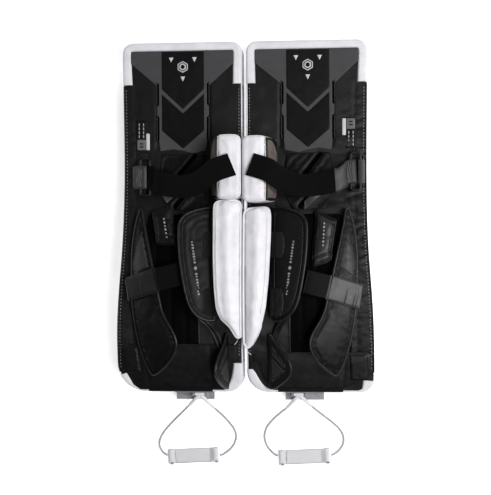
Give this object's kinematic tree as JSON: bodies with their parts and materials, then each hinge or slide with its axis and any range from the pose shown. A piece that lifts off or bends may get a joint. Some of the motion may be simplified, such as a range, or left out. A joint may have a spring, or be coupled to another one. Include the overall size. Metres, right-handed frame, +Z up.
{
  "type": "pair of goalie leg pads",
  "caption": "Pair of ice hockey goalie leg pads with knee and calf blocks, hinged padded wings, opening elastic straps and cord toe ties.",
  "frame": {"origin": "on the floor, under the middle of the two pads without their toe ties", "axes": "+X from the left pad to the right pad, +Y from toe to thigh, +Z up, from the front faces to the leg side"},
  "size_m": [0.5856, 0.9786, 0.1555],
  "materials": {
    "white_leather": "smooth satin synthetic leather",
    "foam": "matte foam",
    "black_nylon": "woven nylon, slight sheen",
    "black_leather": "satin synthetic leather",
    "grey_panel": "smooth satin",
    "grey_stretch": "shiny stretch fabric",
    "taupe_nash": "brushed suede-like grip fabric",
    "black_webbing": "ribbed webbing",
    "black_elastic": "ribbed elastic, matte",
    "grey_webbing": "ribbed webbing",
    "grey_plastic": "satin moulded plastic",
    "clear_plastic": "smoky moulded plastic",
    "white_plastic": "satin moulded plastic",
    "cord": "smooth braided cord",
    "white_webbing": "hook-and-loop band",
    "stitching": "thread",
    "emblem_grey": "raised rubbery print",
    "print_white": "flat print",
    "label": "sewn satin label",
    "eyelet": "dark metal rim"
  },
  "bodies": {
    "left_pad_body": {"left_front_cover": "white_leather", "left_foam_core": "foam", "left_side_walls": "black_nylon", "left_back_liner": "black_nylon", "left_top_binding": "white_leather", "left_toe_guard": "white_leather", "left_thigh_panel": "grey_panel", "left_thigh_inlays": "black_leather", "left_knee_sling": "grey_stretch", "left_channel_liner": "black_nylon", "left_boot_panel": "black_leather", "left_knee_block": "white_leather", "left_knee_block_lining": "taupe_nash", "left_calf_block": "white_leather", "left_ring_keeper": "grey_webbing", "left_toe_bridge": "clear_plastic"},
    "left_knee_strap_body": {"left_knee_strap": "black_elastic", "left_knee_strap_tab": "black_elastic", "left_knee_ring": "grey_plastic"},
    "left_inner_wing_body": {"left_inner_calf_wing": "black_leather", "left_wing_loops": "black_webbing"},
    "left_outer_wing_body": {"left_outer_calf_wing": "black_leather"},
    "left_calf_strap_body": {"left_calf_strap": "black_elastic", "left_calf_strap_tab": "black_leather"},
    "left_ankle_wing_body": {"left_ankle_wing": "black_leather"},
    "left_fit_tab_body": {"left_fit_tab": "black_leather"},
    "left_toe_tie_body": {"left_toe_anchor": "white_plastic", "left_toe_cords": "cord", "left_toe_strap": "white_webbing"},
    "left_toe_flap_body": {"left_toe_strap_flap": "white_webbing"},
    "right_pad_body": {"right_front_cover": "white_leather", "right_foam_core": "foam", "right_side_walls": "black_nylon", "right_back_liner": "black_nylon", "right_top_binding": "white_leather", "right_toe_guard": "white_leather", "right_thigh_panel": "grey_panel", "right_thigh_inlays": "black_leather", "right_knee_sling": "grey_stretch", "right_channel_liner": "black_nylon", "right_boot_panel": "black_leather", "right_knee_block": "white_leather", "right_knee_block_lining": "taupe_nash", "right_calf_block": "white_leather", "right_ring_keeper": "grey_webbing", "right_toe_bridge": "clear_plastic"},
    "right_knee_strap_body": {"right_knee_strap": "black_elastic", "right_knee_strap_tab": "black_elastic", "right_knee_ring": "grey_plastic"},
    "right_inner_wing_body": {"right_inner_calf_wing": "black_leather", "right_wing_loops": "black_webbing"},
    "right_outer_wing_body": {"right_outer_calf_wing": "black_leather"},
    "right_calf_strap_body": {"right_calf_strap": "black_elastic", "right_calf_strap_tab": "black_leather"},
    "right_ankle_wing_body": {"right_ankle_wing": "black_leather"},
    "right_fit_tab_body": {"right_fit_tab": "black_leather"},
    "right_toe_tie_body": {"right_toe_anchor": "white_plastic", "right_toe_cords": "cord", "right_toe_strap": "white_webbing"},
    "right_toe_flap_body": {"right_toe_strap_flap": "white_webbing"}
  },
  "joints": [
    {"name": "left_knee_strap_open", "type": "hinge", "parent": "left_pad_body", "child": "left_knee_strap_body", "pos_m": [-0.23875, 0.10175, 0.075], "axis": [0, -1, 0], "range_deg": [0, 110]},
    {"name": "left_outer_wing_open", "type": "hinge", "parent": "left_pad_body", "child": "left_outer_wing_body", "pos_m": [-0.25975, -0.15925, 0.088], "axis": [0, -1, 0], "range_deg": [0, 60]},
    {"name": "left_calf_strap_open", "type": "hinge", "parent": "left_outer_wing_body", "child": "left_calf_strap_body", "pos_m": [-0.26575, -0.15425, 0.108], "axis": [0, -1, 0], "range_deg": [0, 80]},
    {"name": "left_inner_wing_open", "type": "hinge", "parent": "left_pad_body", "child": "left_inner_wing_body", "pos_m": [-0.06375, -0.09925, 0.096], "axis": [0, 1, 0], "range_deg": [0, 35]},
    {"name": "left_ankle_wing_open", "type": "hinge", "parent": "left_pad_body", "child": "left_ankle_wing_body", "pos_m": [-0.04175, -0.31023, 0.08202], "axis": [0, 0.9877, 0.1564], "range_deg": [0, 25]},
    {"name": "left_fit_tab_lift", "type": "hinge", "parent": "left_pad_body", "child": "left_fit_tab_body", "pos_m": [-0.18875, 0.02975, 0.077], "axis": [-0.9863, -0.165, 0], "range_deg": [0, 90]},
    {"name": "left_toe_tie_swing", "type": "hinge", "parent": "left_pad_body", "child": "left_toe_tie_body", "pos_m": [-0.10775, -0.39825, 0.046], "axis": [-1, 0, 0], "range_deg": [0, 100]},
    {"name": "left_toe_flap_open", "type": "hinge", "parent": "left_toe_tie_body", "child": "left_toe_flap_body", "pos_m": [-0.16975, -0.54725, 0.009], "axis": [0, -1, 0], "range_deg": [0, 98]},
    {"name": "right_knee_strap_open", "type": "hinge", "parent": "right_pad_body", "child": "right_knee_strap_body", "pos_m": [0.26325, 0.11075, 0.075], "axis": [0, 1, 0], "range_deg": [0, 110]},
    {"name": "right_outer_wing_open", "type": "hinge", "parent": "right_pad_body", "child": "right_outer_wing_body", "pos_m": [0.25825, -0.15925, 0.088], "axis": [0, 1, 0], "range_deg": [0, 60]},
    {"name": "right_calf_strap_open", "type": "hinge", "parent": "right_outer_wing_body", "child": "right_calf_strap_body", "pos_m": [0.26425, -0.17225, 0.108], "axis": [0, 1, 0], "range_deg": [0, 80]},
    {"name": "right_inner_wing_open", "type": "hinge", "parent": "right_pad_body", "child": "right_inner_wing_body", "pos_m": [0.06225, -0.09925, 0.096], "axis": [0, -1, 0], "range_deg": [0, 35]},
    {"name": "right_ankle_wing_open", "type": "hinge", "parent": "right_pad_body", "child": "right_ankle_wing_body", "pos_m": [0.05625, -0.31023, 0.08202], "axis": [0, -0.9877, -0.1564], "range_deg": [0, 25]},
    {"name": "right_fit_tab_lift", "type": "hinge", "parent": "right_pad_body", "child": "right_fit_tab_body", "pos_m": [0.18525, 0.01775, 0.078], "axis": [-0.9981, 0.061, 0], "range_deg": [0, 90]},
    {"name": "right_toe_tie_swing", "type": "hinge", "parent": "right_pad_body", "child": "right_toe_tie_body", "pos_m": [0.12125, -0.39825, 0.046], "axis": [-1, 0, 0], "range_deg": [0, 100]},
    {"name": "right_toe_flap_open", "type": "hinge", "parent": "right_toe_tie_body", "child": "right_toe_flap_body", "pos_m": [0.17225, -0.54725, 0.009], "axis": [0, 1, 0], "range_deg": [0, 98]},
    {"name": "pads_apart", "type": "slide", "parent": "left_pad_body", "child": "right_pad_body", "axis": [1, 0, 0], "range_m": [0, 0.3]}
  ]
}
